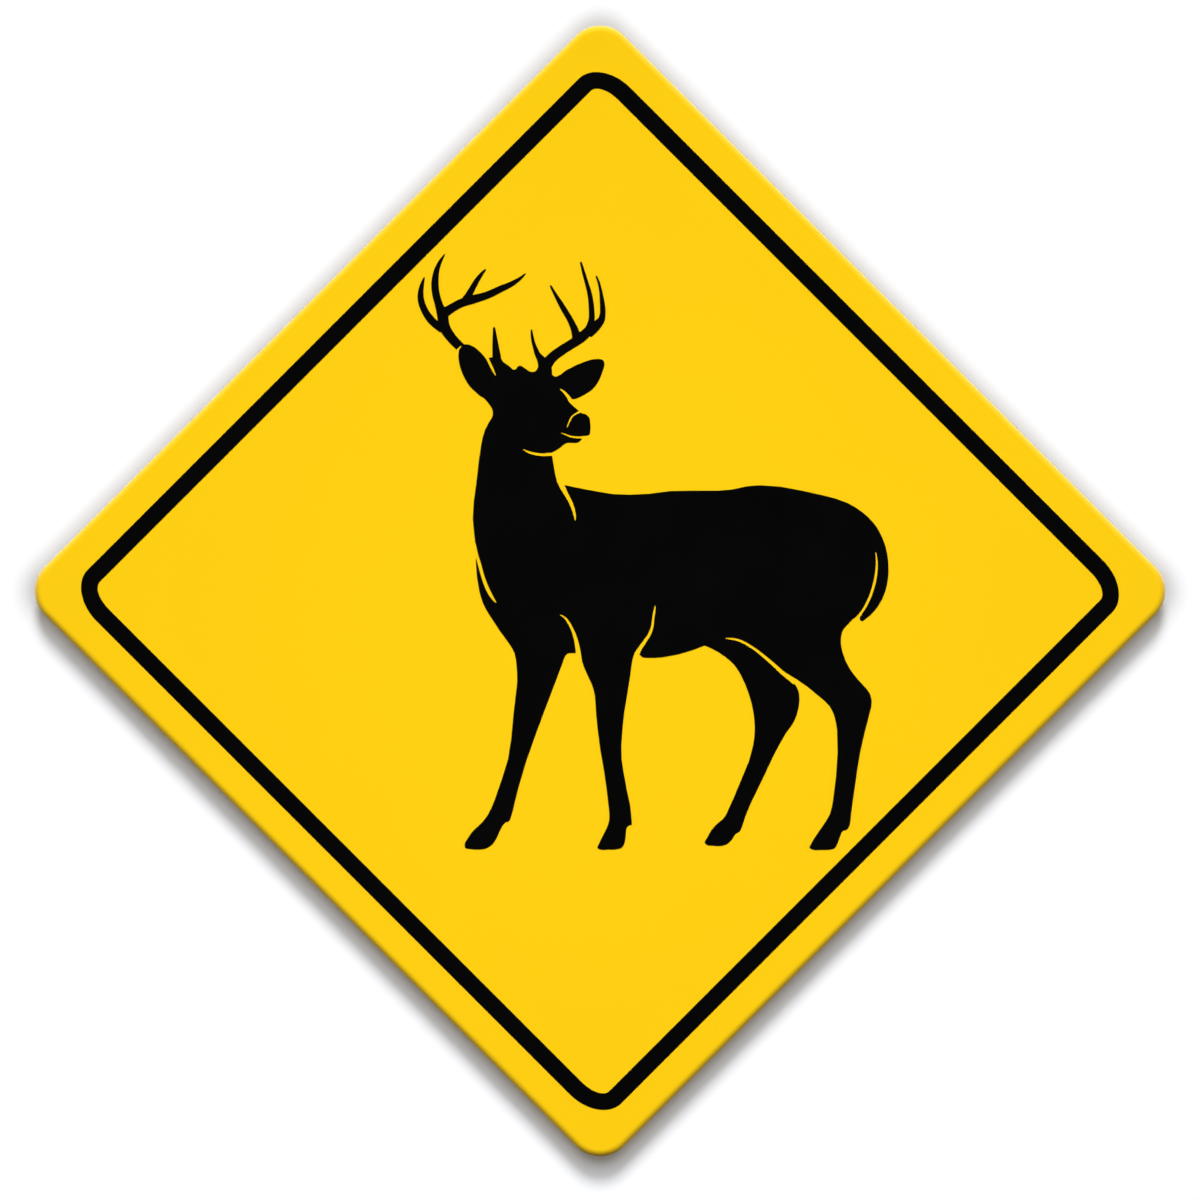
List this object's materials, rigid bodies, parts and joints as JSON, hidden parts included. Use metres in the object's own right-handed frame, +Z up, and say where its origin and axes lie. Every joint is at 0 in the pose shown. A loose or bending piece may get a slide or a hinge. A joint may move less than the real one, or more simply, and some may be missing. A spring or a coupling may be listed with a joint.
{
  "type": "deer crossing sign",
  "caption": "Square yellow sign panel that stands on one corner, with rolled front edges, a black border line and a black standing deer on its flat front.",
  "frame": {"origin": "centre of the panel's flat back face", "axes": "+Y points out of the back, the front with the deer looks along -Y, +Z is up through the panel's top corner, +X is to the right as seen from the front"},
  "size_m": [0.4208, 0.0031, 0.4208],
  "materials": {
    "yellow_coated_aluminium": "satin",
    "black_film": "satin"
  },
  "bodies": {
    "root": {"panel": "yellow_coated_aluminium", "border_line": "black_film", "deer_figure": "black_film"}
  },
  "joints": []
}
